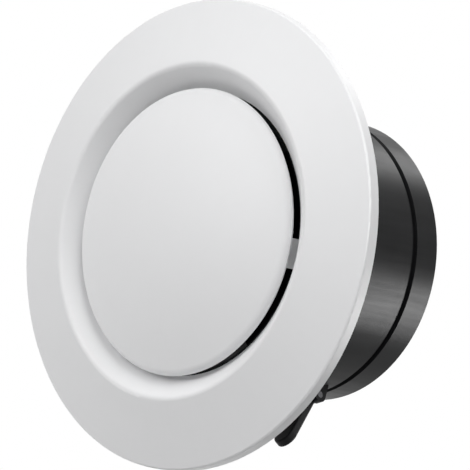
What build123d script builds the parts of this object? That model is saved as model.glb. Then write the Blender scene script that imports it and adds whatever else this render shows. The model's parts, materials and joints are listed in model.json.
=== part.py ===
from build123d import *
from math import asin, atan2, cos, hypot, pi, radians, sin, sqrt
import os

# Ventilation disc valve for a 100 mm duct, in millimetres.
# The air path runs along Y. The room is at -Y, the duct at +Y and up is +Z.
# The origin is on the axis, in the wall plane that the back of the rim rests on.
# Clock angles run clockwise from the top, as seen from the room.

# Collar, which sets the size: it slides into the duct
collar_r = 49.1
collar_wall = 2.4
collar_length = 67.0
collar_flange = 2.4
collar_bevel = 0.7
groove_inset = 12.5
groove_width = 2.0
groove_depth = 1.2
groove_bevel = 0.5
notch_gap = 0.4
gusset_length = 8.0
gusset_reach = 3.0
gusset_count = 8

# Face ring: a shallow cone that climbs to a rounded ridge and falls into the throat
throat_inset = 0.9
throat_front = 2.2
cove_width = 8.2
ridge_round = 2.2
cone_rise = 6.7
rim_height = 4.0
rim_round = 0.8
seat = 1.0
wall = 2.2

# Back of the face ring
rib = 1.6
rib_count = 16
rib_recess = 0.6
gasket_clear = 8.4
gasket_band = 13.8
gasket_depth = 2.2
gasket_gap = 0.5

# Screws that hold the bridge and the collar, on one circle under the ridge
screw_inset = 2.6
screw_margin = 4.0
foot_margin = 3.6
screw_shank_r = 1.1
screw_hole_r = 1.5
screw_head_r = 2.4
screw_head_height = 1.8
screw_head_bevel = 0.7
screw_cross = 3.2
screw_cross_width = 0.7
screw_cross_depth = 0.9
screw_bite = 4.0
boss_r = 2.3

# Bridge: cross arms, hub and the slotted sleeve behind it
arm_count = 4
arm_width = 10.0
arm_thickness = 2.2
web = 2.0
web_depth = 11.0
web_tip_depth = 2.0
hub_r = 10.5
hub_root_round = 3.0
bush_length = 10.0
bush_flange_r = 9.2
bush_flange = 1.2
bush_hex_r = 8.4
ring_length = 1.8
ring_thickness = 0.9
ring_shoulder = 1.2
sleeve_bore_r = 7.4
slot_width = 3.2
slot_angle = 45.0

# Spindle, its stop washer and the travel of the disc
spindle_r = 6.0
running_gap = 0.06
slide_gap = 0.2
side_gap = 0.3
close_travel = 3.0
open_travel = 14.0
spindle_flange_r = 14.0
spindle_flange = 2.6
spindle_back = 4.6
spindle_screw_circle_r = 10.0
spindle_screw_count = 3
spigot_r = 3.0
stop_washer_thickness = 1.6
stop_tab_width = 2.8
stop_tab_r = 9.6
washer_play = 0.1
tail_washer_r = 4.6
tail_washer_thickness = 0.8
tail_screw_bite = 9.0

# Centre disc
disc_lap = 0.6
disc_edge_y = 6.6
disc_edge_round = 2.0
disc_dome = 7.0
disc_wall = 2.2
disc_back_y = 4.4
disc_taper = 1.6
disc_rim = 2.0
disc_rib_count = 6
disc_screw_bite = 4.0

# Spring claws, hinged in ears on the collar
claw_angle = 156.0
claw_count = 2
claw_inset = 9.0
claw_lift = 3.3
claw_lean = 49.0
claw_length = 23.0
claw_width = 8.0
claw_thickness = 3.0
claw_round = 0.6
claw_heel = 3.1
knuckle_r = 2.4
ear = 2.4
ear_r = 2.7
ear_foot = 5.0
pin_r = 1.2
fork_reach = 4.6
spring_wire_r = 0.35
spring_wire_sides = 8
spring_r = 1.75
spring_pitch = 0.76
spring_full_turns = 3
spring_pocket = 4.2
spring_leg = 8.0
spring_back_leg = 6.5

# Places that follow from the sizes
bore_r = collar_r - collar_wall
groove_y = collar_length - groove_inset
claw_y = groove_y - claw_inset
throat_r = collar_r - throat_inset
disc_r = throat_r + disc_lap
ridge_r = throat_r + cove_width
screw_circle_r = ridge_r - screw_inset
foot_r = screw_circle_r + foot_margin
collar_flange_r = screw_circle_r + screw_margin
gasket_wall_r = collar_flange_r + gasket_clear
flange_r = gasket_wall_r + gasket_band
seat_y = -seat
arm_back_y = seat_y + arm_thickness
cone_slope = cone_rise / (flange_r - ridge_r)
ridge_y = -rim_height - cone_rise
bush_back_y = seat_y + bush_length
ring_back_y = bush_back_y + ring_length
ring_r = spindle_r + running_gap + ring_thickness
spindle_front_y = -spindle_back - spindle_flange
slot_front_y = ring_back_y + ring_shoulder
stop_front_y = slot_front_y + side_gap + open_travel
shoulder_y = stop_front_y - washer_play
spigot_end_y = stop_front_y + stop_washer_thickness + washer_play
sleeve_end_y = spigot_end_y + close_travel + side_gap
pivot_r = collar_r + claw_lift
ear_inner = claw_width / 2 + side_gap
screw_back_y = seat_y + collar_flange
lean = radians(claw_lean)
claw_plane = Plane(origin=(0, claw_y, pivot_r), x_dir=(0, -cos(lean), sin(lean)), z_dir=(-1, 0, 0))
claw_flat = Plane(origin=claw_plane.origin, x_dir=claw_plane.x_dir, z_dir=claw_plane.y_dir)
channel_depth = claw_thickness / 2 - spring_r + spring_wire_r + running_gap
leg_slope = asin((claw_lift - spring_r - spring_wire_r - running_gap) / spring_back_leg)
coil_length = spring_pitch * (spring_full_turns + (lean - leg_slope) / (2 * pi))


def cross_plane(y):
    """The plane square to the axis at y, seen from the room, with extrusions towards the room."""
    return Plane.XZ.offset(-y)


def pan_screws(head_y, shank_length, circle_r, count, first_angle):
    """Pan head screws on a circle, driven towards the room, with a cross recess."""
    places = PolarLocations(circle_r, count, first_angle)
    with BuildPart() as screws:
        with BuildSketch(cross_plane(head_y)):
            with places:
                Circle(screw_head_r)
        extrude(amount=-screw_head_height)
        tops = screws.faces().filter_by(Axis.Y).group_by(Axis.Y)[-1]
        chamfer(tops.edges(), screw_head_bevel)
        with BuildSketch(cross_plane(head_y + screw_head_height)):
            with places:
                Rectangle(screw_cross, screw_cross_width)
                Rectangle(screw_cross_width, screw_cross)
        extrude(amount=screw_cross_depth, mode=Mode.SUBTRACT)
        with BuildSketch(cross_plane(head_y)):
            with places:
                Circle(screw_shank_r)
        extrude(amount=shank_length)
    return screws.part


# Section of the face ring, in a plane through the axis
with BuildSketch(Plane.XY) as face_section:
    with BuildLine():
        Polyline(
            (throat_r, seat_y),
            (throat_r, -throat_front),
            (ridge_r, ridge_y),
            (flange_r, -rim_height),
            (flange_r, seat_y),
            close=True,
        )
    make_face()
    fillet(face_section.vertices().sort_by(Axis.Y)[0], ridge_round)
    fillet(face_section.vertices().group_by(Axis.X)[-1].sort_by(Axis.Y)[0], rim_round)

# Hollow behind the face, one wall thickness inside the cove and the cone
cove_angle = atan2(ridge_y + throat_front, cove_width)
hollow_start = (throat_r - wall * sin(cove_angle), -throat_front + wall * cos(cove_angle))
cone_back_y = -rim_height + wall * hypot(1, cone_slope)
hollow_side = (throat_r + wall - hollow_start[0]) / cos(cove_angle)
hollow_side_y = hollow_start[1] + hollow_side * sin(cove_angle)
hollow_depth = (
    cone_back_y - cone_slope * (flange_r - hollow_start[0]) - hollow_start[1]
) / (sin(cove_angle) - cone_slope * cos(cove_angle))
hollow_top = (
    hollow_start[0] + hollow_depth * cos(cove_angle),
    hollow_start[1] + hollow_depth * sin(cove_angle),
)

# Core of the face ring: the hollow behind it, less its ribs, bosses and gasket wall
with BuildPart() as face_core:
    with BuildSketch(Plane.XY):
        with BuildLine():
            Polyline(
                (throat_r + wall, 0),
                (throat_r + wall, hollow_side_y),
                hollow_top,
                (flange_r - wall, cone_back_y - cone_slope * wall),
                (flange_r - wall, 0),
                close=True,
            )
        make_face()
    revolve(axis=Axis.Y)
    with BuildSketch(cross_plane(seat_y)):
        Circle(gasket_wall_r)
        Circle(gasket_wall_r - rib, mode=Mode.SUBTRACT)
        with PolarLocations(screw_circle_r, 2 * arm_count):
            Circle(boss_r)
    extrude(amount=-ridge_y, mode=Mode.SUBTRACT)
    with BuildSketch(cross_plane(-gasket_depth)):
        with PolarLocations((gasket_wall_r + flange_r) / 2, rib_count, 180 / rib_count):
            Rectangle(flange_r - gasket_wall_r + rib, rib)
    extrude(amount=-ridge_y, mode=Mode.SUBTRACT)
    with BuildSketch(cross_plane(seat_y - rib_recess)):
        with PolarLocations((throat_r + gasket_wall_r) / 2, rib_count, 180 / rib_count):
            Rectangle(gasket_wall_r - throat_r, rib)
    extrude(amount=-ridge_y, mode=Mode.SUBTRACT)

with BuildPart() as face_ring:
    with BuildSketch(Plane.XY):
        add(face_section.sketch)
    revolve(axis=Axis.Y)
    add(face_core.part, mode=Mode.SUBTRACT)
    with BuildSketch(cross_plane(0)):
        Circle(flange_r)
        Circle(flange_r - wall, mode=Mode.SUBTRACT)
        Circle(gasket_wall_r)
        Circle(gasket_wall_r - rib, mode=Mode.SUBTRACT)
    extrude(amount=seat)
    with BuildSketch(cross_plane(seat_y)):
        with PolarLocations(screw_circle_r, 2 * arm_count):
            Circle(screw_shank_r)
    extrude(amount=screw_bite + side_gap, mode=Mode.SUBTRACT)

with BuildPart() as bridge:
    # Cross arms with rounded roots, cut to a circle at the feet
    with BuildSketch(cross_plane(seat_y)) as arms:
        with PolarLocations(foot_r / 2, arm_count):
            Rectangle(foot_r, arm_width)
        Circle(foot_r, mode=Mode.INTERSECT)
        Circle(hub_r)
        roots = [v for v in arms.vertices() if hypot(v.X, v.Z) < hub_r + wall]
        fillet(roots, hub_root_round)
    extrude(amount=-arm_thickness)
    # Webs behind the arms
    for index in range(arm_count):
        with BuildSketch(Plane.XY.rotated((0, 360 * index / arm_count, 0))):
            with BuildLine():
                Polyline(
                    (sleeve_bore_r + wall / 2, arm_back_y),
                    (bore_r - side_gap, arm_back_y),
                    (bore_r - side_gap, arm_back_y + web_tip_depth),
                    (sleeve_bore_r + wall / 2, arm_back_y + web_depth),
                    close=True,
                )
            make_face()
        extrude(amount=web / 2, both=True)
    # Hub and sleeve, bored from the front for the bush and the friction ring
    with BuildSketch(cross_plane(seat_y)):
        Circle(hub_r)
    extrude(amount=seat_y - sleeve_end_y)
    with BuildSketch(cross_plane(seat_y)):
        Circle(bush_flange_r)
    extrude(amount=-bush_flange, mode=Mode.SUBTRACT)
    with BuildSketch(cross_plane(seat_y)):
        RegularPolygon(bush_hex_r, 6)
    extrude(amount=-bush_length, mode=Mode.SUBTRACT)
    with BuildSketch(cross_plane(seat_y)):
        Circle(ring_r)
    extrude(amount=seat_y - ring_back_y, mode=Mode.SUBTRACT)
    with BuildSketch(cross_plane(seat_y)):
        Circle(spindle_r + side_gap)
    extrude(amount=seat_y - slot_front_y, mode=Mode.SUBTRACT)
    # Sleeve bore and the slots that guide the tabs of the stop washer, open at the back
    with BuildSketch(cross_plane(slot_front_y)):
        Circle(sleeve_bore_r)
        Rectangle(2 * (hub_r + side_gap), slot_width, rotation=slot_angle)
    extrude(amount=slot_front_y - sleeve_end_y, mode=Mode.SUBTRACT)
    with BuildSketch(cross_plane(seat_y)):
        with PolarLocations(screw_circle_r, arm_count):
            Circle(screw_hole_r)
    extrude(amount=-arm_thickness, mode=Mode.SUBTRACT)

with BuildPart() as hub_bush:
    with BuildSketch(cross_plane(seat_y)):
        Circle(bush_flange_r)
    extrude(amount=-bush_flange)
    with BuildSketch(cross_plane(seat_y)):
        RegularPolygon(bush_hex_r, 6)
    extrude(amount=-bush_length)
    with BuildSketch(cross_plane(seat_y)):
        Circle(spindle_r + running_gap)
    extrude(amount=-bush_length, mode=Mode.SUBTRACT)

with BuildPart() as friction_ring:
    with BuildSketch(Plane.XY):
        with Locations((ring_r - ring_thickness / 2, bush_back_y + ring_length / 2)):
            Rectangle(ring_thickness, ring_length)
    revolve(axis=Axis.Y)

with BuildPart() as duct_collar:
    # Tube with its groove and bevelled end, and the flange that the screws hold
    with BuildSketch(Plane.XY):
        with BuildLine():
            Polyline(
                (bore_r, seat_y),
                (collar_flange_r, seat_y),
                (collar_flange_r, screw_back_y),
                (collar_r, screw_back_y),
                (collar_r, groove_y - groove_width / 2),
                (collar_r - groove_depth, groove_y - groove_width / 2),
                (collar_r - groove_depth, groove_y + groove_width / 2),
                (collar_r, groove_y + groove_width / 2 + groove_bevel),
                (collar_r, collar_length - collar_bevel),
                (collar_r - collar_bevel, collar_length),
                (bore_r, collar_length),
                close=True,
            )
        make_face()
    revolve(axis=Axis.Y)
    # Slots that the bridge arms drop into, and screw holes between them
    with BuildSketch(cross_plane(seat_y)):
        with PolarLocations(collar_flange_r, arm_count):
            Rectangle(2 * (collar_flange_r - bore_r) + wall, arm_width + 2 * notch_gap)
        with PolarLocations(screw_circle_r, arm_count, 180 / arm_count):
            Circle(screw_hole_r)
    extrude(amount=-collar_flange, mode=Mode.SUBTRACT)
    # Gussets between the flange and the tube
    for index in range(gusset_count):
        with BuildSketch(Plane.XY.rotated((0, 360 * (index + 0.5) / gusset_count, 0))):
            with BuildLine():
                Polyline(
                    (collar_r - collar_wall / 2, screw_back_y - collar_flange / 2),
                    (collar_r + gusset_reach, screw_back_y - collar_flange / 2),
                    (collar_r + gusset_reach, screw_back_y),
                    (collar_r, screw_back_y + gusset_length),
                    (collar_r - collar_wall / 2, screw_back_y + gusset_length),
                    close=True,
                )
            make_face()
        extrude(amount=rib / 2, both=True)
    # Hinge ears of the claws, round about the pin and wide at the foot
    with BuildSketch(Plane.YZ) as ear_side:
        with Locations((claw_y, pivot_r)):
            Circle(ear_r)
        with Locations((claw_y, collar_r - collar_wall / 2)):
            Rectangle(2 * ear_foot, collar_wall / 2)
        make_hull()
        with Locations((claw_y, pivot_r)):
            Circle(pin_r, mode=Mode.SUBTRACT)
    for index in range(claw_count):
        for side in (-1, 1):
            blank = extrude(ear_side.sketch, amount=ear / 2, both=True, mode=Mode.PRIVATE)
            blank = blank.moved(Location((side * (ear_inner + ear / 2), 0, 0)))
            add(blank.rotate(Axis.Y, claw_angle + 360 * index / claw_count))

with BuildPart() as wall_gasket:
    with BuildSketch(Plane.XY):
        with Locations(((gasket_wall_r + flange_r - wall) / 2, -gasket_depth / 2)):
            Rectangle(flange_r - wall - gasket_wall_r - 2 * gasket_gap, gasket_depth)
    revolve(axis=Axis.Y)

with BuildPart() as centre_disc:
    # Domed shell with a rounded edge and a tapered rim
    dome_edge_r = disc_r - disc_edge_round
    dome_edge_y = -disc_edge_y - disc_edge_round
    dome_top_y = dome_edge_y - disc_dome
    ball_r = (dome_edge_r**2 + disc_dome**2) / (2 * disc_dome)
    dome_mid = (dome_edge_r / 2, dome_top_y + ball_r - sqrt(ball_r**2 - dome_edge_r**2 / 4))
    with BuildSketch(Plane.XY):
        with BuildLine():
            dome = ThreePointArc((0, dome_top_y), dome_mid, (dome_edge_r, dome_edge_y))
            edge = TangentArc(dome @ 1, (disc_r, -disc_edge_y), tangent=dome % 1)
            sides = Polyline(
                edge @ 1,
                (disc_r - disc_taper, -disc_back_y),
                (disc_r - disc_taper - disc_rim, -disc_back_y),
                (dome_edge_r - disc_rim, dome_edge_y + disc_wall),
            )
            inside = ThreePointArc(
                sides @ 1, (dome_mid[0], dome_mid[1] + disc_wall), (0, dome_top_y + disc_wall)
            )
            Line(inside @ 1, dome @ 0)
        make_face()
    revolve(axis=Axis.Y)
    # Ribs under the dome, which the spindle seats on
    for index in range(disc_rib_count):
        with BuildSketch(Plane.XY.rotated((0, 360 * index / disc_rib_count, 0))):
            with BuildLine():
                rib_top = ThreePointArc(
                    (0, dome_top_y + disc_wall / 2),
                    (dome_mid[0], dome_mid[1] + disc_wall / 2),
                    (dome_edge_r - disc_rim / 2, dome_edge_y + disc_wall / 2),
                )
                Polyline(
                    rib_top @ 1,
                    (dome_edge_r - disc_rim / 2, spindle_front_y),
                    (0, spindle_front_y),
                    rib_top @ 0,
                )
            make_face()
        extrude(amount=rib / 2, both=True)
    # Bosses for the screws of the spindle
    with BuildSketch(cross_plane(spindle_front_y)):
        with PolarLocations(spindle_screw_circle_r, spindle_screw_count, 90):
            Circle(spindle_flange_r - spindle_screw_circle_r)
    extrude(amount=spindle_front_y - dome_top_y - disc_wall / 2)
    with BuildSketch(cross_plane(spindle_front_y)):
        with PolarLocations(spindle_screw_circle_r, spindle_screw_count, 90):
            Circle(screw_shank_r)
    extrude(amount=disc_screw_bite + side_gap, mode=Mode.SUBTRACT)

with BuildPart() as spindle:
    with BuildSketch(cross_plane(-spindle_back)):
        Circle(spindle_flange_r)
    extrude(amount=spindle_flange)
    with BuildSketch(cross_plane(-spindle_back)):
        Circle(spindle_r)
    extrude(amount=-spindle_back - shoulder_y)
    with BuildSketch(cross_plane(shoulder_y)):
        Circle(spigot_r)
    extrude(amount=shoulder_y - spigot_end_y)
    with BuildSketch(cross_plane(spigot_end_y)):
        Circle(screw_shank_r)
    extrude(amount=tail_screw_bite + side_gap, mode=Mode.SUBTRACT)
    with Locations(Plane(origin=(0, -spindle_back, 0), x_dir=(1, 0, 0), z_dir=(0, 1, 0))):
        with PolarLocations(spindle_screw_circle_r, spindle_screw_count, -90):
            CounterSinkHole(screw_hole_r, screw_head_r, spindle_flange, counter_sink_angle=90)

with BuildPart() as disc_screws:
    with BuildSketch(cross_plane(-spindle_back)):
        with PolarLocations(spindle_screw_circle_r, spindle_screw_count, 90):
            Circle(screw_head_r - running_gap)
    extrude(amount=screw_head_r - screw_shank_r, taper=45)
    with BuildSketch(cross_plane(-spindle_back)):
        with PolarLocations(spindle_screw_circle_r, spindle_screw_count, 90):
            Circle(screw_shank_r)
    extrude(amount=spindle_flange + disc_screw_bite)

with BuildPart() as stop_washer:
    with BuildSketch(cross_plane(stop_front_y)):
        Circle(sleeve_bore_r - slide_gap)
        Rectangle(2 * stop_tab_r, stop_tab_width, rotation=slot_angle)
        Circle(spigot_r + running_gap, mode=Mode.SUBTRACT)
    extrude(amount=-stop_washer_thickness)

with BuildPart() as tail_washer:
    with BuildSketch(cross_plane(spigot_end_y)):
        Circle(tail_washer_r)
        Circle(screw_hole_r, mode=Mode.SUBTRACT)
    extrude(amount=-tail_washer_thickness)

with BuildPart() as claw:
    # Flat finger with a full round end and a heel that stops it on the tube
    with BuildSketch(claw_flat):
        with Locations(((claw_length - claw_width / 2 - claw_heel) / 2, 0)):
            Rectangle(claw_length - claw_width / 2 + claw_heel, claw_width)
        with Locations((claw_length - claw_width / 2, 0)):
            Circle(claw_width / 2)
    extrude(amount=claw_thickness / 2, both=True)
    flats = claw.faces().filter_by(Axis((0, 0, 0), claw_flat.z_dir))
    along = Axis(claw_plane.origin, claw_plane.x_dir)
    fillet(flats.edges().sort_by(along)[2:], claw_round)
    # Knuckle, forked round the spring
    with BuildSketch(claw_plane):
        Circle(knuckle_r)
    extrude(amount=claw_width / 2, both=True)
    with BuildSketch(claw_plane):
        Circle(pin_r + running_gap)
    extrude(amount=claw_width, both=True, mode=Mode.SUBTRACT)
    with BuildSketch(claw_plane):
        Rectangle(2 * fork_reach, 4 * knuckle_r)
    extrude(amount=spring_pocket / 2, both=True, mode=Mode.SUBTRACT)
    # Shallow channel that the leg of the spring bears in
    with BuildSketch(claw_plane):
        with Locations((fork_reach + spring_leg / 2, -claw_thickness / 2)):
            Rectangle(spring_leg, 2 * channel_depth)
    extrude(amount=spring_pocket / 2, both=True, mode=Mode.SUBTRACT)

with BuildPart() as claw_pin:
    with BuildSketch(Plane.YZ):
        with Locations((claw_y, pivot_r)):
            Circle(pin_r)
    extrude(amount=ear_inner + ear, both=True)

# Torsion spring: turns round the pin, one leg under the claw and one on the tube
coil_plane = Plane(
    origin=(coil_length / 2, claw_y, pivot_r),
    x_dir=(0, -sin(leg_slope), -cos(leg_slope)),
    z_dir=(-1, 0, 0),
)
coil = Edge.make_helix(spring_pitch, coil_length, spring_r).moved(coil_plane.location)
with BuildPart() as claw_spring:
    with BuildSketch(Plane(origin=coil @ 0, z_dir=coil % 0)):
        RegularPolygon(spring_wire_r, spring_wire_sides)
    sweep(path=coil, is_frenet=True)
    with BuildSketch(Plane(origin=coil @ 0, z_dir=-(coil % 0))):
        RegularPolygon(spring_wire_r, spring_wire_sides)
    extrude(amount=spring_back_leg)
    with BuildSketch(Plane(origin=coil @ 1, z_dir=coil % 1)):
        RegularPolygon(spring_wire_r, spring_wire_sides)
    extrude(amount=spring_leg)

pieces = {
    "face_ring": face_ring.part,
    "bridge": bridge.part,
    "bridge_screws": pan_screws(arm_back_y, arm_thickness + screw_bite, screw_circle_r, arm_count, 0),
    "hub_bush": hub_bush.part,
    "friction_ring": friction_ring.part,
    "duct_collar": duct_collar.part,
    "collar_screws": pan_screws(
        screw_back_y, collar_flange + screw_bite, screw_circle_r, arm_count, 180 / arm_count
    ),
    "wall_gasket": wall_gasket.part,
    "centre_disc": centre_disc.part,
    "spindle": spindle.part,
    "disc_screws": disc_screws.part,
    "stop_washer": stop_washer.part,
    "tail_washer": tail_washer.part,
    "tail_screw": pan_screws(
        spigot_end_y + tail_washer_thickness, tail_washer_thickness + tail_screw_bite, 0, 1, 0
    ),
}
for index in range(claw_count):
    turn = claw_angle + 360 * index / claw_count
    pieces[f"claw_{index + 1}"] = claw.part.rotate(Axis.Y, turn)
    pieces[f"claw_pin_{index + 1}"] = claw_pin.part.rotate(Axis.Y, turn)
    pieces[f"claw_spring_{index + 1}"] = claw_spring.part.rotate(Axis.Y, turn)

os.makedirs("parts", exist_ok=True)
for name, piece in pieces.items():
    piece.label = name
    export_step(piece, f"parts/{name}.step")
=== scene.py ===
"""Ventilation disc valve: looks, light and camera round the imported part.

The row frame is in metres. +Y runs along the valve's axis into the duct, the room is at -Y and +Z is up.
"""

import json
import math

import bpy
import numpy as np
from bpy.props import FloatProperty, FloatVectorProperty, IntProperty, PointerProperty
from bpy.types import Operator, Panel, PropertyGroup
from mathutils import Matrix, Vector


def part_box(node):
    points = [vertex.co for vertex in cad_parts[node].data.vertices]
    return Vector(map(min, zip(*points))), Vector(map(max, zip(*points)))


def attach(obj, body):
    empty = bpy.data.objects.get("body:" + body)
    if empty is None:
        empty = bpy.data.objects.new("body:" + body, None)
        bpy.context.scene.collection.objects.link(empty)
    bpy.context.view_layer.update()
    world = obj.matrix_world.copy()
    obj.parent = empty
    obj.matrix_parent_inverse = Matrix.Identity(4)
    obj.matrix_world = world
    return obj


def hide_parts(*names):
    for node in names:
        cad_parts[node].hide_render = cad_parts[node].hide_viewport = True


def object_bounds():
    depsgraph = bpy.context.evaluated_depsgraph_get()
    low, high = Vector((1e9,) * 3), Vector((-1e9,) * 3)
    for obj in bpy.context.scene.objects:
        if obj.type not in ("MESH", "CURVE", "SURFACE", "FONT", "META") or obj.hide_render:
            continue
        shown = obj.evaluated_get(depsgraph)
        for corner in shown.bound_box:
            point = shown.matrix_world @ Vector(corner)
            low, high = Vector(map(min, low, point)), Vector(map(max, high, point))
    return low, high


bl_info = {
    "name": "Ventilation Disc Valve",
    "version": (1, 0, 0),
    "blender": (4, 5, 0),
    "location": "View3D > Sidebar > Disc Valve",
    "description": "Dresses a ventilation disc valve and lights it for a studio view",
    "category": "Object",
}

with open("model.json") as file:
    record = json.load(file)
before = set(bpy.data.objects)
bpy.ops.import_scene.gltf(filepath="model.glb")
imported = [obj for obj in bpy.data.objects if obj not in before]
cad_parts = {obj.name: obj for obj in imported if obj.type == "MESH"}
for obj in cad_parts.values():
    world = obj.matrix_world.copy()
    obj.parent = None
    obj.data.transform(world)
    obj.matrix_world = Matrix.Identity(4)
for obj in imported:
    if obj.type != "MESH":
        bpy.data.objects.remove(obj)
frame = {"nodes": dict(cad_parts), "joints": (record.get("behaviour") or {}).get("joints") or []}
CAD_BOX = [list(corner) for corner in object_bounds()]
NODES = frame["nodes"]
JOINTS = {joint["name"]: joint for joint in frame["joints"]}
SPINDLE_LOW, SPINDLE_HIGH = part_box("spindle")
COLLAR_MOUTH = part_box("duct_collar")[1].y

CROWN_FAN = 3.97  # radius in mm of the fan of faces at the disc's crown
TUBE_RADIUS = 49.1  # radius in mm of the collar's outside
STREAK_CIRCLE = 50  # distance in mm from the axis at which a streak has its given width
STREAK_STRETCH = 0.03  # change of a streak along its run, per mm
SHARP_EDGE = 40  # angle in degrees above which an edge of a new piece is shaded sharp
PAINTED_SHADE_RADIUS = 0.0472  # radius in metres of the painted shade: a dark round in the collar's mouth
PAINTED_SHADE_INSET = 0.001  # metres from the collar's rear end to the round of painted shade


def colour(name, words, default):
    """A colour of three shares from 0 to 1."""
    return FloatVectorProperty(
        name=name, description=words, default=default, size=3, min=0, max=1, subtype="COLOR"
    )


def length(name, words, default):
    """A length in metres."""
    return FloatProperty(name=name, description=words, default=default, unit="LENGTH")


def angle(name, words, degrees):
    """An angle, given in degrees and kept in radians."""
    return FloatProperty(name=name, description=words, default=math.radians(degrees), subtype="ANGLE")


def factor(name, words, default):
    """A share from 0 to 1."""
    return FloatProperty(
        name=name, description=words, default=default, min=0, max=1, subtype="FACTOR"
    )


def power(name, words, default):
    """The power of a lamp in watts."""
    return FloatProperty(name=name, description=words, default=default, min=0, unit="POWER")


def count(name, words, default):
    """A whole number, at least one."""
    return IntProperty(name=name, description=words, default=default, min=1)


class ValveFinish(PropertyGroup):
    """Colours and gloss of the mouldings and the hardware."""

    face: colour("Face", "White plastic of the face ring", (0.86, 0.862, 0.87))
    disc: colour("Disc", "White plastic of the centre disc", (0.875, 0.877, 0.885))
    bridge: colour("Bridge", "White plastic of the bridge", (0.82, 0.825, 0.83))
    collar: colour("Collar", "Black plastic of the duct collar", (0.008, 0.0083, 0.009))
    claw: colour("Claw", "Black plastic of the claws", (0.011, 0.011, 0.0117))
    foam: colour("Foam", "Closed-cell foam of the gasket", (0.055, 0.056, 0.06))
    rubber: colour("Rubber", "Rubber of the friction ring", (0.02, 0.02, 0.02))
    nylon: colour("Nylon", "Natural nylon of the spindle", (0.66, 0.64, 0.56))
    brass: colour("Brass", "Brass of the bush", (0.72, 0.52, 0.22))
    steel: colour("Steel", "Zinc-plated steel", (0.62, 0.63, 0.65))
    pin: colour("Pin", "Blackened steel of the claw pins", (0.10, 0.10, 0.105))
    wire: colour("Wire", "Drawn spring wire", (0.50, 0.51, 0.53))
    white_roughness: factor("White Roughness", "Roughness of the white plastic", 0.45)
    white_gloss: factor("White Gloss", "Specular level of the white plastic", 0.3)
    black_roughness: factor("Black Roughness", "Roughness of the black plastic", 0.34)
    black_gloss: factor("Black Gloss", "Specular level of the black plastic", 0.09)


class ValveThread(PropertyGroup):
    """Sizes of the threaded spindle."""

    flange: length("Flange", "Thickness of the spindle's flange", 0.0026)
    shaft: length("Shaft", "Radius over the thread", 0.006)
    spigot: length("Spigot", "Radius of the spigot that carries the stop washer", 0.003)
    spigot_length: length("Spigot Length", "Length of the spigot", 0.0018)
    lead: length("Lead", "Travel in one turn", 0.004)
    starts: count("Starts", "Number of thread starts", 2)
    depth: length("Depth", "Depth of the thread", 0.0007)
    screw_circle: length("Screw Circle", "Radius of the circle of screws in the flange", 0.010)
    screw_head: length("Screw Head", "Radius of a countersink at the back of the flange", 0.0024)
    screws: count("Screws", "Number of screws in the flange", 3)


class ValveSpring(PropertyGroup):
    """Sizes of the torsion springs of the claws."""

    wire: length("Wire", "Radius of the wire", 0.00035)
    coil: length("Coil", "Radius of the turns at the middle of the wire", 0.00175)
    pitch: length("Pitch", "Step from one turn to the next", 0.00076)
    turns: count("Turns", "Whole turns of the coil", 3)
    lift: length("Lift", "From the tube to the pin", 0.0033)
    bearing: length("Bearing", "Clearance of the fixed leg over the tube", 0.00006)
    fixed_leg: length("Fixed Leg", "Leg that bears on the tube", 0.0065)
    moving_leg: length("Moving Leg", "Leg that bears under the claw", 0.008)
    lean: angle("Lean", "Angle from the tube to the claw at rest", 49)


class ValveView(PropertyGroup):
    """Camera of the studio view."""

    azimuth: angle("Azimuth", "Turn of the view from the front towards the right", 44.1725)
    roll: angle("Roll", "Turn of the picture about the line of sight", 11.5314)
    distance: length("Distance", "From the camera to the wall plane at the axis", 1.178969)
    right: length("Right", "Shift of the object to the right in the picture", -0.0122545)
    up: length("Up", "Shift of the object upwards in the picture", 0.0002439)
    lens: FloatProperty(
        name="Lens", description="Focal length for the sensor", default=268.085, subtype="DISTANCE_CAMERA"
    )
    sensor: FloatProperty(
        name="Sensor", description="Width of the sensor", default=36, subtype="DISTANCE_CAMERA"
    )


class ValveLight(PropertyGroup):
    """Power of each studio lamp, and the stage round the valve."""

    key: power("Key", "High lamp on the right", 22)
    front: power("Front", "Fill from the front", 14)
    left: power("Left", "Fill from the left", 3.2)
    back: power("Back", "Fill from straight behind, into the duct", 12)
    low_gloss: power("Low Gloss", "Small lamp that shows in gloss low on the right", 7)
    high_gloss: power("High Gloss", "Small lamp that shows in gloss over the collar", 1.2)
    world: FloatProperty(name="World", description="Strength of light from all round", default=0.07, min=0)
    floor_drop: length("Floor Drop", "From the lowest point of the valve to the floor", 0.8)
    floor_radius: length("Floor Radius", "Radius of the round floor", 1.2)
    floor_white: factor("Floor White", "Share of plain white in the floor as it is seen", 0.75)


def fill(tree, node, values):
    """Gives a node's inputs, by name or number, their values or links."""
    for key, value in values.items():
        if isinstance(value, bpy.types.NodeSocket):
            tree.links.new(value, node.inputs[key])
        else:
            node.inputs[key].default_value = value
    return node


def add_node(tree, kind, values):
    """A new node with its inputs filled."""
    return fill(tree, tree.nodes.new(kind), values)


def maths(tree, operation, *terms, clamp=False):
    """The result of a Math node on numbers or sockets."""
    node = tree.nodes.new("ShaderNodeMath")
    node.operation = operation
    node.use_clamp = clamp
    return fill(tree, node, dict(enumerate(terms))).outputs[0]


def vectors(tree, operation, values):
    """The outputs of a Vector Math node."""
    node = tree.nodes.new("ShaderNodeVectorMath")
    node.operation = operation
    return fill(tree, node, values).outputs


def millimetres(tree):
    """Object coordinates in millimetres."""
    place = tree.nodes.new("ShaderNodeTexCoord").outputs["Object"]
    return vectors(tree, "SCALE", {0: place, "Scale": 1000})[0]


def across_axis(tree, place):
    """The part of a place that lies across the valve's axis, and its length."""
    flat = vectors(tree, "MULTIPLY", {0: place, 1: (1, 0, 1)})[0]
    return flat, vectors(tree, "LENGTH", {0: flat})["Value"]


def apart(tree, vector):
    """The X, Y and Z of a vector."""
    return add_node(tree, "ShaderNodeSeparateXYZ", {0: vector}).outputs


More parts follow.
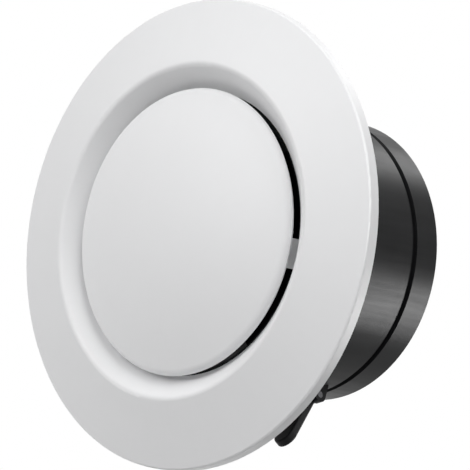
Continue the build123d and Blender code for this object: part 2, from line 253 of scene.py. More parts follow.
def noise(tree, place, scale, detail):
    """Noise from 0 to 1 with features of 1 / scale."""
    return add_node(
        tree, "ShaderNodeTexNoise", {"Vector": place, "Scale": scale, "Detail": detail}
    ).outputs["Fac"]


def swing(tree, value, amount):
    """A value round a half, moved to lie round zero and scaled."""
    return maths(tree, "MULTIPLY", maths(tree, "SUBTRACT", value, 0.5), amount)


def ramp(tree, value, start, slope):
    """Zero up to a start, and from there a rise by the slope until one."""
    return maths(tree, "MULTIPLY", maths(tree, "SUBTRACT", value, start), slope, clamp=True)


def one_plus(tree, value):
    """A change round zero as a factor round one."""
    return maths(tree, "ADD", value, 1)


def effect_group(name, inputs, outputs):
    """An empty shader group with its number inputs and outputs, ready to fill."""
    tree = bpy.data.node_groups.new(name, "ShaderNodeTree")
    for label, default in inputs.items():
        socket = tree.interface.new_socket(label, in_out="INPUT", socket_type="NodeSocketFloat")
        socket.default_value = default
    for label in outputs:
        tree.interface.new_socket(label, in_out="OUTPUT", socket_type="NodeSocketFloat")
    given = tree.nodes.new("NodeGroupInput").outputs
    out = tree.nodes.new("NodeGroupOutput").inputs
    return tree, given, out


def moulded_skin():
    """Moulded plastic: a faint cloudiness, uneven gloss and a fine grain."""
    tree, given, out = effect_group(
        "Moulded Skin",
        {"Cloud": 0.03, "Gloss Change": 0.06, "Grain Size": 0.35, "Grain Height": 0.002},
        ("Tone", "Roughness", "Height"),
    )
    place = millimetres(tree)
    cloud = noise(tree, place, scale=0.05, detail=3)
    patch = noise(tree, place, scale=0.13, detail=5)
    grain = noise(tree, place, scale=maths(tree, "DIVIDE", 1, given["Grain Size"]), detail=2)
    tree.links.new(one_plus(tree, swing(tree, cloud, given["Cloud"])), out["Tone"])
    tree.links.new(swing(tree, patch, given["Gloss Change"]), out["Roughness"])
    tree.links.new(swing(tree, grain, given["Grain Height"]), out["Height"])
    return tree


def flow_lines():
    """Streaks where plastic flowed along the tube, or out from the axis, fading out at the axis."""
    tree, given, out = effect_group(
        "Flow Lines",
        {"Streaks": 0.04, "Gloss Change": 0.08, "Width": 1.2, "Height": 0.002},
        ("Tone", "Roughness", "Height"),
    )
    place = millimetres(tree)
    flat, reach = across_axis(tree, place)
    ring = vectors(tree, "NORMALIZE", {0: flat})[0]
    fineness = maths(tree, "DIVIDE", STREAK_CIRCLE, given["Width"])
    round_it = vectors(tree, "SCALE", {0: ring, "Scale": fineness})[0]
    travel = maths(tree, "ADD", apart(tree, place)["Y"], reach)
    run = maths(tree, "MULTIPLY", travel, STREAK_STRETCH)
    along = add_node(tree, "ShaderNodeCombineXYZ", {"Y": run}).outputs[0]
    streak = noise(tree, vectors(tree, "ADD", {0: round_it, 1: along})[0], scale=1, detail=3)
    fade = ramp(tree, reach, start=8, slope=0.05)
    line = maths(tree, "MULTIPLY", maths(tree, "SUBTRACT", streak, 0.5), fade)
    tree.links.new(one_plus(tree, maths(tree, "MULTIPLY", line, given["Streaks"])), out["Tone"])
    tree.links.new(maths(tree, "MULTIPLY", line, given["Gloss Change"]), out["Roughness"])
    tree.links.new(maths(tree, "MULTIPLY", line, given["Height"]), out["Height"])
    return tree


def ejector_marks():
    """Round marks of ejector pins on faces towards the duct, evenly spaced on a circle."""
    tree, given, out = effect_group(
        "Ejector Marks",
        {"Count": 8, "Circle": 60, "Radius": 2, "First": 0, "Depth": 0.05},
        ("Tone", "Height"),
    )
    place = millimetres(tree)
    reach = across_axis(tree, place)[1]
    parts = apart(tree, place)
    turn = maths(tree, "SUBTRACT", maths(tree, "ARCTAN2", parts["X"], parts["Z"]), given["First"])
    half = maths(tree, "DIVIDE", math.pi, given["Count"])
    nearest = maths(tree, "WRAP", turn, half, maths(tree, "MULTIPLY", half, -1))
    sideways = maths(tree, "MULTIPLY", maths(tree, "SINE", nearest), reach)
    outwards = maths(tree, "MULTIPLY", maths(tree, "COSINE", nearest), reach)
    offset = add_node(
        tree, "ShaderNodeCombineXYZ",
        {"X": sideways, "Y": maths(tree, "SUBTRACT", outwards, given["Circle"])},
    ).outputs[0]
    away = vectors(tree, "LENGTH", {0: offset})["Value"]
    inside = ramp(tree, given["Radius"], start=away, slope=6)
    facing = apart(tree, tree.nodes.new("ShaderNodeTexCoord").outputs["Normal"])["Y"]
    to_duct = ramp(tree, facing, start=0.8, slope=20)
    mark = maths(tree, "MULTIPLY", inside, to_duct)
    darkening = maths(tree, "MULTIPLY", mark, -0.04)
    tree.links.new(one_plus(tree, darkening), out["Tone"])
    sunk = maths(tree, "MULTIPLY", mark, given["Depth"])
    tree.links.new(maths(tree, "MULTIPLY", sunk, -1), out["Height"])
    return tree


def turned_rings():
    """Fine rings left by a lathe, uneven in depth, under a patchy tarnish."""
    tree, given, out = effect_group(
        "Turned Rings",
        {"Rings per mm": 9, "Depth": 0.004, "Tarnish": 0.12},
        ("Tone", "Roughness", "Height"),
    )
    place = millimetres(tree)
    station = maths(tree, "ADD", across_axis(tree, place)[1], apart(tree, place)["Y"])
    rings = tree.nodes.new("ShaderNodeTexNoise")
    rings.noise_dimensions = "1D"
    tree.links.new(station, rings.inputs["W"])
    tree.links.new(given["Rings per mm"], rings.inputs["Scale"])
    stain = noise(tree, place, scale=0.5, detail=4)
    tree.links.new(one_plus(tree, swing(tree, stain, given["Tarnish"])), out["Tone"])
    tree.links.new(swing(tree, stain, amount=0.25), out["Roughness"])
    tree.links.new(swing(tree, rings.outputs["Fac"], given["Depth"]), out["Height"])
    return tree


def zinc_plate():
    """Bright zinc: small crystals of slightly different grey, and a patchy gloss."""
    tree, given, out = effect_group(
        "Zinc Plate",
        {"Crystal Size": 0.6, "Contrast": 0.14, "Gloss Change": 0.2},
        ("Tone", "Roughness", "Height"),
    )
    place = millimetres(tree)
    crystal = add_node(
        tree, "ShaderNodeTexVoronoi",
        {"Vector": place, "Scale": maths(tree, "DIVIDE", 1, given["Crystal Size"])},
    )
    grey = add_node(tree, "ShaderNodeSeparateColor", {0: crystal.outputs["Color"]}).outputs[0]
    patch = noise(tree, place, scale=0.9, detail=4)
    tree.links.new(one_plus(tree, swing(tree, grey, given["Contrast"])), out["Tone"])
    tree.links.new(swing(tree, patch, given["Gloss Change"]), out["Roughness"])
    tree.links.new(swing(tree, patch, amount=0.004), out["Height"])
    return tree


def foam_cells():
    """Closed-cell foam: rounded cells and a few open pores, with painted shade that darkens the sunken rims
    between cells and the pores.
    """
    tree, given, out = effect_group(
        "Foam Cells", {"Cell Size": 0.55, "Depth": 0.12, "Contrast": 0.7}, ("Tone", "Height")
    )
    pore_radius, cell_middle, mean_tone = 0.16, 0.6, 0.85
    place = millimetres(tree)
    cell = add_node(
        tree, "ShaderNodeTexVoronoi",
        {"Vector": place, "Scale": maths(tree, "DIVIDE", 1, given["Cell Size"])},
    ).outputs["Distance"]
    spacing = add_node(tree, "ShaderNodeTexVoronoi", {"Vector": place, "Scale": 0.45})
    pore = ramp(tree, pore_radius, start=spacing.outputs["Distance"], slope=9)
    relief = maths(tree, "SUBTRACT", maths(tree, "SUBTRACT", cell_middle, cell), pore)
    # Painted shade: the tone falls with the relief, so the sunken rims between cells and the open pores are
    # darker.
    shade = maths(tree, "MULTIPLY", relief, given["Contrast"])
    tree.links.new(maths(tree, "ADD", shade, mean_tone), out["Tone"])
    tree.links.new(maths(tree, "MULTIPLY", relief, given["Depth"]), out["Height"])
    return tree


def drawn_wire():
    """Die lines along a wire, from its own map: U goes round it and V along it in millimetres."""
    tree, given, out = effect_group(
        "Drawn Wire", {"Lines": 30, "Depth": 0.004}, ("Tone", "Roughness", "Height")
    )
    chart = apart(tree, tree.nodes.new("ShaderNodeTexCoord").outputs["UV"])
    turn = maths(tree, "MULTIPLY", chart["X"], math.tau)
    reach = maths(tree, "DIVIDE", given["Lines"], math.tau)
    spot = add_node(
        tree, "ShaderNodeCombineXYZ",
        {
            "X": maths(tree, "MULTIPLY", maths(tree, "COSINE", turn), reach),
            "Y": maths(tree, "MULTIPLY", maths(tree, "SINE", turn), reach),
            "Z": chart["Y"],
        },
    ).outputs[0]
    film = noise(tree, millimetres(tree), scale=0.8, detail=3)
    scratch = noise(tree, spot, scale=1, detail=2)
    tree.links.new(one_plus(tree, swing(tree, film, amount=0.25)), out["Tone"])
    tree.links.new(swing(tree, film, amount=0.3), out["Roughness"])
    tree.links.new(swing(tree, scratch, given["Depth"]), out["Height"])
    return tree


EFFECTS = {
    "Moulded Skin": moulded_skin,
    "Flow Lines": flow_lines,
    "Ejector Marks": ejector_marks,
    "Turned Rings": turned_rings,
    "Zinc Plate": zinc_plate,
    "Foam Cells": foam_cells,
    "Drawn Wire": drawn_wire,
}


def finish_material(name, base, effects, roughness, metallic=0.0, gloss=0.5):
    """A Principled surface under several effects.

    Each effect is a group's name and its values. Their tones multiply the base colour, their
    roughness adds to the given one, and their heights, in millimetres, add up in one bump.
    """
    material = bpy.data.materials.new(name)
    material.use_nodes = True
    tree = material.node_tree
    shader = tree.nodes["Principled BSDF"]
    shader.inputs["Metallic"].default_value = metallic
    shader.inputs["Specular IOR Level"].default_value = gloss
    shader.inputs["Roughness"].default_value = roughness
    tone, rough, height = 1.0, roughness, 0.0
    for effect, values in effects.items():
        group = tree.nodes.new("ShaderNodeGroup")
        group.node_tree = bpy.data.node_groups.get(effect) or EFFECTS[effect]()
        for key, value in values.items():
            group.inputs[key].default_value = value
        tone = maths(tree, "MULTIPLY", tone, group.outputs["Tone"])
        height = maths(tree, "ADD", height, group.outputs["Height"])
        if "Roughness" in group.outputs:
            rough = maths(tree, "ADD", rough, group.outputs["Roughness"], clamp=True)
            tree.links.new(rough, shader.inputs["Roughness"])
    tint = add_node(tree, "ShaderNodeHueSaturation", {"Color": (*base, 1), "Value": tone})
    bump = add_node(tree, "ShaderNodeBump", {"Distance": 0.001, "Height": height})
    tree.links.new(tint.outputs["Color"], shader.inputs["Base Color"])
    tree.links.new(bump.outputs["Normal"], shader.inputs["Normal"])
    return material


def swap_normal(tree, normal, better, mask):
    """Gives the bump a better normal where the mask is one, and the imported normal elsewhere."""
    shift = vectors(tree, "SUBTRACT", {0: better, 1: normal})[0]
    part = vectors(tree, "SCALE", {0: shift, "Scale": mask})[0]
    chosen = vectors(tree, "ADD", {0: normal, 1: part})[0]
    tree.links.new(chosen, tree.nodes["Bump"].inputs["Normal"])


def even_crown(material):
    """Shades the fan at the disc's crown by its true normal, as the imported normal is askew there."""
    tree = material.node_tree
    surface = tree.nodes.new("ShaderNodeNewGeometry").outputs
    on_fan = maths(tree, "LESS_THAN", across_axis(tree, millimetres(tree))[1], CROWN_FAN)
    swap_normal(tree, surface["Normal"], surface["True Normal"], on_fan)
    return material


def even_tube(material):
    """Shades the collar's outside by the exact radial direction.

    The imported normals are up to 1.5 degrees off it at the seam and beside the gussets and ears.
    """
    slack, nearly_radial = 0.05, 0.99
    tree = material.node_tree
    normal = tree.nodes.new("ShaderNodeNewGeometry").outputs["Normal"]
    flat, reach = across_axis(tree, millimetres(tree))
    radial = vectors(tree, "NORMALIZE", {0: flat})[0]
    near = maths(tree, "COMPARE", reach, TUBE_RADIUS, slack)
    cosine = vectors(tree, "DOT_PRODUCT", {0: normal, 1: radial})["Value"]
    along = maths(tree, "GREATER_THAN", cosine, nearly_radial)
    swap_normal(tree, normal, radial, maths(tree, "MULTIPLY", near, along))
    return material


def dress(material, *names):
    """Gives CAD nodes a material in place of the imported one."""
    for name in names:
        slots = NODES[name].data.materials
        slots.clear()
        slots.append(material)


def ringed_faces(rows, around):
    """Faces of a closed surface whose corners are rows of rings, and then its two end points.

    Four corners join each ring to the next, every ring closes on itself, and a fan closes each end.
    """
    here = np.arange(rows * around).reshape(rows, around)
    beside = np.roll(here, -1, axis=1)
    end = np.full(around, rows * around)
    quads = np.stack((here[:-1], beside[:-1], beside[1:], here[1:]), axis=-1).reshape(-1, 4)
    first = np.stack((beside[0], here[0], end), axis=-1)
    last = np.stack((here[-1], beside[-1], end + 1), axis=-1)
    return quads.tolist() + first.tolist() + last.tolist()


def map_along(mesh, rings):
    """A map whose U goes round the rings from 0 to 1 and whose V is the run along them in millimetres."""
    rows, around = rings.shape[:2]
    step = np.linalg.norm(np.diff(rings.mean(axis=1), axis=0), axis=1) * 1000
    run = np.concatenate(([0], np.cumsum(step)))
    corner = np.empty(len(mesh.loops), dtype=np.int32)
    mesh.loops.foreach_get("vertex_index", corner)
    row = np.minimum(corner // around, rows - 1)
    chart = np.stack((corner % around / around, run[row]), axis=-1)
    mesh.uv_layers.new(name="Along").data.foreach_set("uv", chart.astype(np.float32).ravel())


def add_piece(name, rings, body, material, node):
    """A closed surface through rings of points, which rides on a body and stands for a CAD node."""
    corners = np.concatenate((rings.reshape(-1, 3), rings[[0, -1]].mean(axis=1)))
    mesh = bpy.data.meshes.new(name)
    mesh.from_pydata(corners.tolist(), [], ringed_faces(*rings.shape[:2]))
    map_along(mesh, rings)
    mesh.shade_smooth()
    mesh.set_sharp_from_angle(angle=math.radians(SHARP_EDGE))
    mesh.materials.append(material)
    piece = bpy.data.objects.new(name, mesh)
    bpy.context.scene.collection.objects.link(piece)
    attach(piece, body)
    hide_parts(node)


def spindle_stations(size):
    """Stations along the axis of the flange's front and back, the shaft's shoulder and the spigot's end."""
    front, end = SPINDLE_LOW.y, SPINDLE_HIGH.y
    return front, front + size.flange, end - size.spigot_length, end


def spindle_outline(size):
    """Radius and station of each ring of the spindle, from the face under the disc to its spigot's end.

    The flange and the shaft are straight runs that a quarter round joins, with small bevels at the
    edges, close rings where the countersinks and the thread are cut, and a step down to the spigot.
    """
    front, back, shoulder, end = spindle_stations(size)
    rim, bevel, root = SPINDLE_HIGH.x, 0.0003, 0.0005
    plate_step, shaft_step = 0.0002, 0.0001
    plate = np.arange(rim - 2 * bevel, size.shaft + root, -plate_step)
    shaft = np.arange(back + root, shoulder - 2 * bevel, shaft_step)
    bend = np.linspace(0, np.pi / 2, 7)
    return np.concatenate((
        [(rim / 2, front), (rim - bevel, front), (rim, front + bevel)],
        [(rim, back - bevel), (rim - bevel, back)],
        np.column_stack((plate, np.full(len(plate), back))),
        np.column_stack((size.shaft + root * (1 - np.sin(bend)), back + root * (1 - np.cos(bend)))),
        np.column_stack((np.full(len(shaft), size.shaft), shaft)),
        [(size.shaft - size.depth, shoulder - bevel), (size.shaft - 3 * bevel, shoulder)],
        [(size.spigot, shoulder), (size.spigot, end - bevel), (size.spigot - bevel, end)],
        [(size.spigot / 2, end)],
    ))


def threaded_spindle(size, around=144):
    """Rings of the spindle, with its thread and its countersinks.

    The phase is starts x (station / lead - angle / turn). Twice its distance from the middle of its
    cycle, less the crest and over the wall, kept from 0 to 1, is the groove g. The thread lowers the
    shaft's radius by depth x g x g x (3 - 2 g), and it fades in and out over its ends. A countersink
    lowers the flange's back by the head's radius less the distance from the screw, to a flat floor.
    """
    crest, wall = 0.26, 0.48
    run_in, run_out = 0.002, 0.0006
    deepest = 0.6 * size.screw_head
    outline = spindle_outline(size)
    radius, station = outline[:, :1], outline[:, 1:]
    _, back, shoulder, _ = spindle_stations(size)
    turn = np.linspace(0, math.tau, around, endpoint=False)[None, :]
    phase = size.starts * (station / size.lead - turn / math.tau)
    groove = np.clip((np.abs(phase % 1 - 0.5) * 2 - crest) / wall, 0, 1)
    fade = np.clip((station - back) / run_in - 1, 0, 1) * np.clip((shoulder - station) / run_out, 0, 1)
    on_shaft = np.isclose(radius, size.shaft)
    turned = radius - on_shaft * size.depth * fade * groove ** 2 * (3 - 2 * groove)
    x, z = turned * np.sin(turn), turned * np.cos(turn)
    screw = math.tau * np.arange(size.screws) / size.screws
    aside = x[..., None] - size.screw_circle * np.sin(screw)
    above = z[..., None] - size.screw_circle * np.cos(screw)
    gap = np.hypot(aside, above).min(axis=-1)
    on_back = np.isclose(station, back) & (radius > size.shaft)
    sunk = on_back * np.clip(size.screw_head - gap, 0, deepest)
    return np.stack((x, station - sunk, z), axis=-1)


def spring_slope(size):
    """Angle of the spring's fixed leg to the tube."""
    return math.asin((size.lift - size.coil - size.wire - size.bearing) / size.fixed_leg)


def spring_sweep(size):
    """Angle through which the wire turns between the two legs at rest."""
    return math.tau * size.turns + size.lean - spring_slope(size)


def spring_rings(size, first, last, around=16, tip=0.8):
    """Rings of a stretch of the spring in the claw's own frame, whose Y is along the tube and Z outwards.

    The middle line is a helix about the pin: coil radius x (cosine, sine) of the angle, and pitch x
    angle / turn along the pin. An angle below zero or beyond the sweep is a straight leg, as long as
    the coil radius times the angle left over. A ring is a circle of the wire's radius across it, and
    the first and the last ring are smaller by the tip's share.
    """
    step = math.radians(8)
    slope, sweep = spring_slope(size), spring_sweep(size)
    down = np.array((0, -math.sin(slope), -math.cos(slope)))
    back = np.array((0, -math.cos(slope), math.sin(slope)))
    pin = np.array((-1, 0, 0))
    angles = np.linspace(first, last, int((last - first) / step))[:, None]
    held = np.clip(angles, 0, sweep)
    outward = np.cos(held) * down + np.sin(held) * back
    forward = size.coil * (np.cos(held) * back - np.sin(held) * down) + size.pitch / math.tau * pin
    forward /= np.linalg.norm(forward, axis=1, keepdims=True)
    path = size.coil * outward + size.pitch / math.tau * (held - sweep / 2) * pin
    path += size.coil * (angles - held) * forward
    radius = np.full((len(path), 1, 1), size.wire)
    radius[[0, -1]] *= tip
    turn = np.linspace(0, math.tau, around, endpoint=False)[None, :, None]
    sideways = np.cross(forward, outward)
    circle = np.cos(turn) * outward[:, None] + np.sin(turn) * sideways[:, None]
    return path[:, None] + radius * circle


def at_claw(rings, joint):
    """Points in the claw's own frame as points of the row frame, at the claw's pin."""
    pin = np.array(joint["pos_m"])
    outward = np.array((pin[0], 0, pin[2])) / math.hypot(pin[0], pin[2])
    along = np.array((0, 1, 0))
    return pin + rings @ np.stack((np.cross(along, outward), along, outward))


def satin_white(finish, name, base, streaks, marks):
    """The white of the face and the disc, with its own strength of flow lines and ejector marks."""
    effects = {
        "Moulded Skin": {"Cloud": 0.02, "Gloss Change": 0.08, "Grain Size": 1.4, "Grain Height": 0.0015},
        "Flow Lines": {"Streaks": streaks, "Gloss Change": 0.05, "Width": 2.5},
        "Ejector Marks": marks,
    }
    return finish_material(name, base, effects, finish.white_roughness, gloss=finish.white_gloss)


class VALVE_OT_face_ring(Operator):
    """Finish the face ring in satin white"""

    bl_idname = "valve.face_ring"
    bl_label = "Face Ring"

    def execute(self, context):
        finish = context.scene.valve_finish
        marks = {"Count": 16, "Circle": 62.5, "Radius": 1.2}
        white = satin_white(finish, "Face Plastic", finish.face, streaks=0.012, marks=marks)
        dress(white, "face_ring")
        return {"FINISHED"}


class VALVE_OT_centre_disc(Operator):
    """Finish the centre disc in satin white"""

    bl_idname = "valve.centre_disc"
    bl_label = "Centre Disc"

    def execute(self, context):
        finish = context.scene.valve_finish
        marks = {"Count": 6, "Circle": 30, "First": math.radians(30)}
        white = satin_white(finish, "Disc Plastic", finish.disc, streaks=0.01, marks=marks)
        dress(even_crown(white), "centre_disc")
        return {"FINISHED"}


class VALVE_OT_bridge(Operator):
    """Finish the bridge in matt white"""

    bl_idname = "valve.bridge"
    bl_label = "Bridge"

    def execute(self, context):
        effects = {
            "Moulded Skin": {"Cloud": 0.05, "Gloss Change": 0.1, "Grain Size": 0.3, "Grain Height": 0.006},
            "Flow Lines": {"Streaks": 0.04, "Width": 1.5},
            "Ejector Marks": {"Count": 4, "Circle": 36, "Radius": 1.5},
        }
        finish = context.scene.valve_finish
        dress(finish_material("Bridge Plastic", finish.bridge, effects, roughness=0.48), "bridge")
        return {"FINISHED"}


class VALVE_OT_collar(Operator):
    """Finish the duct collar and the claws in black"""

    bl_idname = "valve.collar"
    bl_label = "Collar and Claws"

    def execute(self, context):
        finish = context.scene.valve_finish
        tube = {
            "Moulded Skin": {"Cloud": 0.15, "Gloss Change": 0.1, "Grain Size": 0.2, "Grain Height": 0.003},
            "Flow Lines": {"Streaks": 0.5, "Gloss Change": 0.2, "Width": 2},
            "Ejector Marks": {"Circle": 53.5, "Radius": 1.2, "First": math.radians(22.5)},
        }
        black = finish_material(
            "Collar Plastic", finish.collar, tube, finish.black_roughness, gloss=finish.black_gloss
        )
        dress(even_tube(black), "duct_collar")
        claw = {
            "Moulded Skin": {"Cloud": 0.2, "Gloss Change": 0.12, "Grain Size": 0.16, "Grain Height": 0.008}
        }
        black = finish_material("Claw Plastic", finish.claw, claw, roughness=0.42, gloss=finish.black_gloss)
        dress(black, "claw_1", "claw_2")
        return {"FINISHED"}


class VALVE_OT_spindle(Operator):
    """Make the threaded spindle in nylon"""

    bl_idname = "valve.spindle"
    bl_label = "Spindle"

    def execute(self, context):
        effects = {
            "Moulded Skin": {"Cloud": 0.06, "Gloss Change": 0.1, "Grain Size": 0.3, "Grain Height": 0.004},
            "Turned Rings": {"Depth": 0.003, "Tarnish": 0.04},
        }
        nylon = finish_material("Nylon", context.scene.valve_finish.nylon, effects, roughness=0.42)
        rings = threaded_spindle(context.scene.valve_thread)
        add_piece("Threaded_Spindle", rings, "disc", nylon, "spindle")
        return {"FINISHED"}


class VALVE_OT_springs(Operator):
    """Make the torsion spring of each claw, as a coil on the pin and a leg that moves with the claw"""

    bl_idname = "valve.springs"
    bl_label = "Claw Springs"

    def execute(self, context):
        size = context.scene.valve_spring
        finish = context.scene.valve_finish
        wire = finish_material("Spring Wire", finish.wire, {"Drawn Wire": {}}, roughness=0.3, metallic=1)
        sweep, overlap = spring_sweep(size), math.radians(12)
        seam = sweep - math.pi / 2
        coil = spring_rings(size, -size.fixed_leg / size.coil, seam)
        leg = spring_rings(size, seam - overlap, sweep + size.moving_leg / size.coil)
        for number in (1, 2):
            joint, node = JOINTS[f"claw_{number}_fold"], f"claw_spring_{number}"
            add_piece(f"Spring_Coil_{number}", at_claw(coil, joint), "housing", wire, node)
            add_piece(
                f"Spring_Leg_{number}", at_claw(leg, joint), f"claw_{number}", wire, node
            )
        return {"FINISHED"}


class VALVE_OT_hardware(Operator):
    """Finish the screws, pins, washers, bush and friction ring"""

    bl_idname = "valve.hardware"
    bl_label = "Hardware"

    def execute(self, context):
        finish = context.scene.valve_finish
        zinc = finish_material("Zinc Steel", finish.steel, {"Zinc Plate": {}}, roughness=0.32, metallic=1)
        dress(zinc, "bridge_screws", "collar_screws", "disc_screws", "tail_screw", "tail_washer")
        patchy = {"Zinc Plate": {"Contrast": 0.3}}
        blackened = finish_material("Black Steel", finish.pin, patchy, roughness=0.42, metallic=1)
        dress(blackened, "claw_pin_1", "claw_pin_2")
        pressed = {"Zinc Plate": {"Crystal Size": 0.9}, "Turned Rings": {"Rings per mm": 5, "Depth": 0.006}}
        washer = finish_material("Washer Steel", finish.steel, pressed, roughness=0.34, metallic=1)
        dress(washer, "stop_washer")
        turned = {"Turned Rings": {}}
        brass = finish_material("Turned Brass", finish.brass, turned, roughness=0.28, metallic=1)
        dress(brass, "hub_bush")
        dull = {
            "Moulded Skin": {"Cloud": 0.3, "Gloss Change": 0.2, "Grain Size": 0.2, "Grain Height": 0.01}
        }
        dress(finish_material("Ring Rubber", finish.rubber, dull, roughness=0.62), "friction_ring")
        return {"FINISHED"}


class VALVE_OT_gasket(Operator):
    """Finish the wall gasket in foam"""

    bl_idname = "valve.gasket"
    bl_label = "Wall Gasket"

    def execute(self, context):
        finish = context.scene.valve_finish
        foam = finish_material("Gasket Foam", finish.foam, {"Foam Cells": {}}, roughness=0.85)
        dress(foam, "wall_gasket")
        return {"FINISHED"}


def add_camera(view):
    """The studio camera: level, turned to the right of the valve, and rolled about its line of sight."""
    level = Vector((math.cos(view.azimuth), math.sin(view.azimuth), 0))
    forward = Vector((-math.sin(view.azimuth), math.cos(view.azimuth), 0))
    plumb = Vector((0, 0, 1))
    right = math.cos(view.roll) * level + math.sin(view.roll) * plumb
    up = math.cos(view.roll) * plumb - math.sin(view.roll) * level
    data = bpy.data.cameras.new("Camera")
    data.lens = view.lens
    data.sensor_width = view.sensor
    data.clip_end = 20
    camera = bpy.data.objects.new("Camera", data)
    place = -view.right * right - view.up * up - view.distance * forward
    camera.matrix_world = Matrix.Translation(place) @ Matrix((right, up, -forward)).transposed().to_4x4()
    bpy.context.scene.collection.objects.link(camera)
    bpy.context.scene.camera = camera


def area_light(name, energy, azimuth, elevation, distance, size, only_gloss=False):
    """A square lamp aimed at the valve, from degrees off the front towards the right and above level."""
    turn, rise = math.radians(azimuth), math.radians(elevation)
    data = bpy.data.lights.new(name, "AREA")
    data.size = size
    data.energy = energy
    lamp = bpy.data.objects.new(name, data)
    way = Vector((math.sin(turn) * math.cos(rise), -math.cos(turn) * math.cos(rise), math.sin(rise)))
    lamp.location = distance * way
    lamp.rotation_euler = (-way).to_track_quat("-Z", "Y").to_euler()
    lamp.visible_camera = False
    lamp.visible_diffuse = not only_gloss
    bpy.context.scene.collection.objects.link(lamp)


def seen_directly(tree):
    """One for camera, glossy and transmission rays, and zero for the rest."""
    path = tree.nodes.new("ShaderNodeLightPath").outputs
    seen = maths(tree, "MAXIMUM", path["Is Camera Ray"], path["Is Glossy Ray"])
    return maths(tree, "MAXIMUM", seen, path["Is Transmission Ray"])


def add_round(name, radius, centre, across, upright, material, around=96):
    """A flat round stage piece: centre + radius x (cosine x across + sine x upright)."""
    turn = np.linspace(0, math.tau, around, endpoint=False)[:, None]
    rim = np.array(centre) + radius * (np.cos(turn) * np.array(across) + np.sin(turn) * np.array(upright))
    mesh = bpy.data.meshes.new(name)
    mesh.from_pydata(rim.tolist(), [], [tuple(range(around))])
    mesh.materials.append(material)
    piece = bpy.data.objects.new(name, mesh)
    bpy.context.scene.collection.objects.link(piece)


def floor_material(white):
    """A pale floor that keeps shadows, partly plain white to the camera and in reflections."""
    material = bpy.data.materials.new("Pale Floor")
    material.use_nodes = True
    tree = material.node_tree
    shader = tree.nodes["Principled BSDF"]
    shader.inputs["Base Color"].default_value = (0.88, 0.88, 0.88, 1)
    shader.inputs["Roughness"].default_value = 0.9
    glow = add_node(tree, "ShaderNodeEmission", {"Strength": 1}).outputs[0]
    share = maths(tree, "MULTIPLY", seen_directly(tree), white)
    mix = add_node(tree, "ShaderNodeMixShader", {0: share, 1: shader.outputs[0], 2: glow})
    tree.links.new(mix.outputs[0], tree.nodes["Material Output"].inputs["Surface"])
    return material


def painted_duct_shade_material():
    """Painted shade: a dark sheet that stands for the shade inside a duct, seen only from the room side.
    All other light passes through it.
    """
    material = bpy.data.materials.new("Painted Duct Shade")
    material.use_nodes = True
    tree = material.node_tree
    tree.nodes.clear()
    rear = tree.nodes.new("ShaderNodeNewGeometry").outputs["Backfacing"]
    share = maths(tree, "MULTIPLY", seen_directly(tree), maths(tree, "SUBTRACT", 1, rear))
    clear = tree.nodes.new("ShaderNodeBsdfTransparent").outputs[0]
    # Painted shade: a near-black colour in place of the unlit inside of the duct.
    dark = add_node(tree, "ShaderNodeBsdfDiffuse", {"Color": (0.006, 0.006, 0.007, 1)}).outputs[0]
    mix = add_node(tree, "ShaderNodeMixShader", {0: share, 1: clear, 2: dark})
    add_node(tree, "ShaderNodeOutputMaterial", {"Surface": mix.outputs[0]})
    return material


def white_world(strength):
    """White to the camera and in reflections, and a faint light from all round for the rest."""
    world = bpy.data.worlds.new("Studio")
    bpy.context.scene.world = world
    world.use_nodes = True
    tree = world.node_tree
    tree.nodes.clear()
    faint = add_node(tree, "ShaderNodeBackground", {"Color": (1, 1, 1, 1), "Strength": strength}).outputs[0]
    white = add_node(tree, "ShaderNodeBackground", {"Color": (1, 1, 1, 1), "Strength": 1}).outputs[0]
    mix = add_node(tree, "ShaderNodeMixShader", {0: seen_directly(tree), 1: faint, 2: white})
    add_node(tree, "ShaderNodeOutputWorld", {"Surface": mix.outputs[0]})


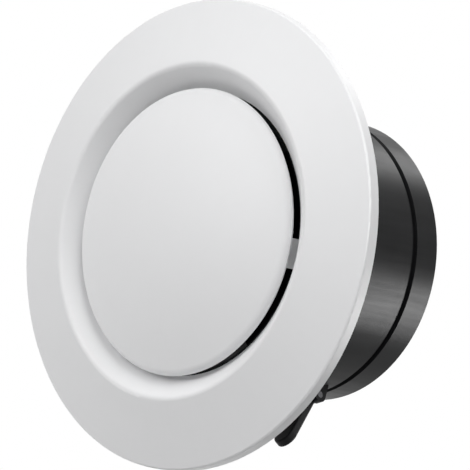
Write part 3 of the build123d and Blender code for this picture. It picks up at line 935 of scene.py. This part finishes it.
class VALVE_OT_stage(Operator):
    """Set up the camera, lamps, floor, and a round of painted shade in the collar's mouth"""

    bl_idname = "valve.stage"
    bl_label = "Stage"

    def execute(self, context):
        light = context.scene.valve_light
        add_camera(context.scene.valve_view)
        area_light("Key", light.key, azimuth=68, elevation=55, distance=1.6, size=1.3)
        area_light("Front_Fill", light.front, azimuth=-15, elevation=25, distance=1.6, size=1.3)
        area_light("Left_Fill", light.left, azimuth=-60, elevation=0, distance=1.6, size=1.3)
        area_light("Back_Fill", light.back, azimuth=184, elevation=8, distance=1.6, size=0.8)
        area_light(
            "Low_Gloss", light.low_gloss, azimuth=139, elevation=-16, distance=0.8, size=0.35,
            only_gloss=True,
        )
        area_light(
            "High_Gloss", light.high_gloss, azimuth=184, elevation=44, distance=0.8, size=0.25,
            only_gloss=True,
        )
        pale = floor_material(light.floor_white)
        floor = (0, 0, CAD_BOX[0][2] - light.floor_drop)
        add_round("Floor", light.floor_radius, floor, (1, 0, 0), (0, 1, 0), pale)
        # Painted shade: a dark round just inside the collar's rear end stands for the shade in the duct
        # beyond.
        dark = painted_duct_shade_material()
        mouth = (0, COLLAR_MOUTH - PAINTED_SHADE_INSET, 0)
        add_round("Painted_Duct_Shade", PAINTED_SHADE_RADIUS, mouth, (1, 0, 0), (0, 0, 1), dark)
        white_world(light.world)
        context.scene.view_settings.view_transform = "Standard"
        return {"FINISHED"}


class VALVE_PT_panel(Panel):
    """Steps of the disc valve, in the order they are run"""

    bl_idname = "VALVE_PT_panel"
    bl_label = "Disc Valve"
    bl_space_type = "VIEW_3D"
    bl_region_type = "UI"
    bl_category = "Disc Valve"

    def draw(self, context):
        for operator in OPERATORS:
            self.layout.operator(operator.bl_idname)


OPERATORS = (
    VALVE_OT_face_ring, VALVE_OT_centre_disc, VALVE_OT_bridge, VALVE_OT_collar, VALVE_OT_spindle,
    VALVE_OT_springs, VALVE_OT_hardware, VALVE_OT_gasket, VALVE_OT_stage,
)
CLASSES = (ValveFinish, ValveThread, ValveSpring, ValveView, ValveLight, *OPERATORS, VALVE_PT_panel)


def register():
    """Adds the classes, and the settings to the scene."""
    for item in CLASSES:
        bpy.utils.register_class(item)
    bpy.types.Scene.valve_finish = PointerProperty(type=ValveFinish)
    bpy.types.Scene.valve_thread = PointerProperty(type=ValveThread)
    bpy.types.Scene.valve_spring = PointerProperty(type=ValveSpring)
    bpy.types.Scene.valve_view = PointerProperty(type=ValveView)
    bpy.types.Scene.valve_light = PointerProperty(type=ValveLight)


def unregister():
    """Takes the settings and the classes away again."""
    del bpy.types.Scene.valve_light
    del bpy.types.Scene.valve_view
    del bpy.types.Scene.valve_spring
    del bpy.types.Scene.valve_thread
    del bpy.types.Scene.valve_finish
    for item in reversed(CLASSES):
        bpy.utils.unregister_class(item)


def main():
    """Builds the whole view."""
    register()
    bpy.ops.valve.face_ring()
    bpy.ops.valve.centre_disc()
    bpy.ops.valve.bridge()
    bpy.ops.valve.collar()
    bpy.ops.valve.spindle()
    bpy.ops.valve.springs()
    bpy.ops.valve.hardware()
    bpy.ops.valve.gasket()
    bpy.ops.valve.stage()


if __name__ == "__main__":
    main()
